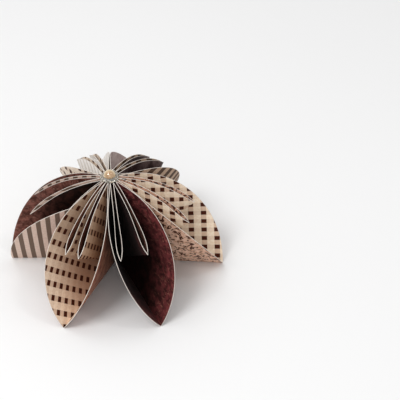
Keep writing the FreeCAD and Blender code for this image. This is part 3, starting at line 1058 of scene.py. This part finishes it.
class FLOWER_OT_petals(bpy.types.Operator):
    """Fold the six paper circles into petals"""

    bl_idname = "flower.petals"
    bl_label = "Fold Petals"

    def execute(self, context):
        paper = context.scene.flower_paper
        tree = folding_tree()
        edge = bare_paper()
        sides = {name: printed_paper(name) for pair in PAPERS.values() for name in pair}
        for number, (name, *_) in enumerate(PETALS):
            turn = wedge(number)
            piece = show(name + "_paper", paper_circle(name, paper, turn))
            inside, outside = PAPERS[name]
            half, _ = half_wedge(PlainSums, turn)
            _, rim_after, rim_before = outline(paper, turn, True)
            _, root_after, root_before = outline(paper, turn, False)
            fold = piece.modifiers.new("Fold", "NODES")
            fold.node_group = tree
            set_inputs(fold, {
                **card_sizes(paper), **turn, "Foot Out": paper.card / 2.0 / math.sin(half),
                "Rim Bow After": rim_after, "Rim Bow Before": rim_before, "Root Bow After": root_after,
                "Root Bow Before": root_before, "Seed": float(number),
                "Inside": sides[inside], "Outside": sides[outside], "Cut Edge": edge,
            })
            smooth(apply_nodes(piece), PAPER_SHARP)
            seat(piece, name)
        return {"FINISHED"}


class FLOWER_OT_pearl(bpy.types.Operator):
    """Turn the half pearl"""

    bl_idname = "flower.pearl"
    bl_label = "Make Pearl"

    def execute(self, context):
        low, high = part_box("pearl")
        radius = high.z - low.z
        profile = [(0.0, low.z), (radius * (1.0 - PEARL_EDGE), low.z),
                   (radius * (1.0 - PEARL_BEVEL), low.z + radius * PEARL_BEVEL)]
        for number in range(1, PEARL_RINGS):
            angle = math.radians(PEARL_START + (90.0 - PEARL_START) * number / PEARL_RINGS)
            profile.append((radius * math.cos(angle), low.z + radius * math.sin(angle)))
        profile.append((0.0, high.z))
        mesh = smooth(lathed("pearl_dome", profile, PEARL_TURNS), PEARL_SHARP)
        piece = show("pearl_dome", mesh, [pearl_lustre()])
        seat(piece, "pearl")
        return {"FINISHED"}


class FLOWER_OT_glue(bpy.types.Operator):
    """Make the bed of set glue that holds the pearl"""

    bl_idname = "flower.glue"
    bl_label = "Make Glue Bed"

    def execute(self, context):
        low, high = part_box("glue_bed")
        pearl_low, pearl_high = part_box("pearl")
        reach, rise = high.x, high.z - low.z
        socket = pearl_high.x + GLUE_ROOM
        ball = context.scene.flower_paper.circle_radius + GLUE_LIFT
        under = [reach * share for share in GLUE_UNDER]
        profile = [(0.0, ball)]
        profile += [(out, math.sqrt(ball * ball - out * out)) for out in under]
        profile += [(reach * out, low.z + rise * up) for out, up in GLUE_SIDE]
        profile += [(socket * out, low.z + rise * up) for out, up in GLUE_LIP]
        profile += [(socket * GLUE_SOCKET_FLOOR, pearl_low.z), (0.0, pearl_low.z)]

        def run(angle, out):
            """The glue ran out unevenly: the further from the pearl, the more the outline wanders."""
            share = max(0.0, (out - socket) / (reach - socket))
            waves = sum(height * math.sin(count * angle + start) for height, count, start in GLUE_WAVES)
            return -GLUE_STRAY * share * (1.0 + waves)

        mesh = smooth(lathed("glue_ring", profile, GLUE_TURNS, run), GLUE_SHARP)
        piece = show("glue_ring", mesh, [set_glue()])
        seat(piece, "glue_bed")
        return {"FINISHED"}


class FLOWER_OT_stage(bpy.types.Operator):
    """Set the white table, the soft light and the camera"""

    bl_idname = "flower.stage"
    bl_label = "Set Stage"

    def execute(self, context):
        stage = context.scene.flower_stage
        side = stage.floor_size / 2.0
        corners = [(-side, -side, 0.0), (side, -side, 0.0), (side, side, 0.0), (-side, side, 0.0)]
        mesh = new_mesh("table", corners, [(0, 1, 2, 3)])
        show("table", mesh, [white_table(stage.floor_colour)])
        self.set_light(context, stage)
        self.set_camera(context, stage)
        context.scene.view_settings.view_transform = "Standard"
        return {"FINISHED"}

    def set_light(self, context, stage):
        """A white room and four soft boxes, the strongest of them at the front left."""
        world = bpy.data.worlds.new("white_room")
        world.use_nodes = True
        tree = world.node_tree
        sums = Sums(tree)
        paths = add(tree, "ShaderNodeLightPath").outputs
        seen = sums.number("MAXIMUM", paths["Is Camera Ray"], paths["Is Transmission Ray"])
        seen = sums.number("MAXIMUM", seen, paths["Is Glossy Ray"])
        plug(tree, tree.nodes["Background"], {"Color": (1.0, 1.0, 1.0, 1.0),
                                              "Strength": sums.between(stage.sky_strength, 1.0, seen)})
        context.scene.world = world
        for name, azimuth, elevation, width, share in BOXES:
            lamp = bpy.data.lights.new(name, "AREA")
            lamp.shape = "SQUARE"
            lamp.size = width
            lamp.energy = stage.key_power * share
            box = bpy.data.objects.new(name, lamp)
            towards = direction(math.radians(90.0 - elevation), math.radians(azimuth))
            box.location = FLOWER_MIDDLE + towards * BOX_DISTANCE
            box.rotation_mode = "QUATERNION"
            box.rotation_quaternion = towards.to_track_quat("Z", "Y")
            context.scene.collection.objects.link(box)

    def set_camera(self, context, stage):
        """A long lens that looks down on the table from the front."""
        camera = bpy.data.cameras.new("camera")
        camera.lens = stage.lens
        camera.clip_start = NEAREST
        camera.clip_end = FURTHEST
        eye = bpy.data.objects.new("camera", camera)
        tilt = Matrix.Rotation(TO_TABLE - stage.elevation, 4, "X")
        away = Matrix.Translation((0.0, 0.0, stage.distance))
        roll = Matrix.Rotation(stage.roll, 4, "Z")
        eye.matrix_world = Matrix.Translation(stage.aim) @ tilt @ away @ roll
        context.scene.collection.objects.link(eye)
        context.scene.camera = eye


class FLOWER_PT_panel(bpy.types.Panel):
    """Sizes of the paper flower and the steps that make it"""

    bl_idname = "FLOWER_PT_panel"
    bl_label = "Folded Paper Flower"
    bl_space_type = "VIEW_3D"
    bl_region_type = "UI"
    bl_category = "Flower"

    def draw(self, context):
        layout = self.layout
        for group in (context.scene.flower_paper, context.scene.flower_stage):
            box = layout.box()
            for name in group.bl_rna.properties.keys():
                if name not in ("rna_type", "name"):
                    box.prop(group, name)
        for step in STEPS:
            layout.operator(step.bl_idname)


STEPS = (FLOWER_OT_petals, FLOWER_OT_glue, FLOWER_OT_pearl, FLOWER_OT_stage)
CLASSES = (PaperSizes, StageSizes, *STEPS, FLOWER_PT_panel)


def register():
    for item in CLASSES:
        bpy.utils.register_class(item)
    bpy.types.Scene.flower_paper = bpy.props.PointerProperty(type=PaperSizes)
    bpy.types.Scene.flower_stage = bpy.props.PointerProperty(type=StageSizes)


def unregister():
    del bpy.types.Scene.flower_stage
    del bpy.types.Scene.flower_paper
    for item in reversed(CLASSES):
        bpy.utils.unregister_class(item)


def main():
    register()
    bpy.ops.flower.petals()
    bpy.ops.flower.glue()
    bpy.ops.flower.pearl()
    bpy.ops.flower.stage()


if __name__ == "__main__":
    main()
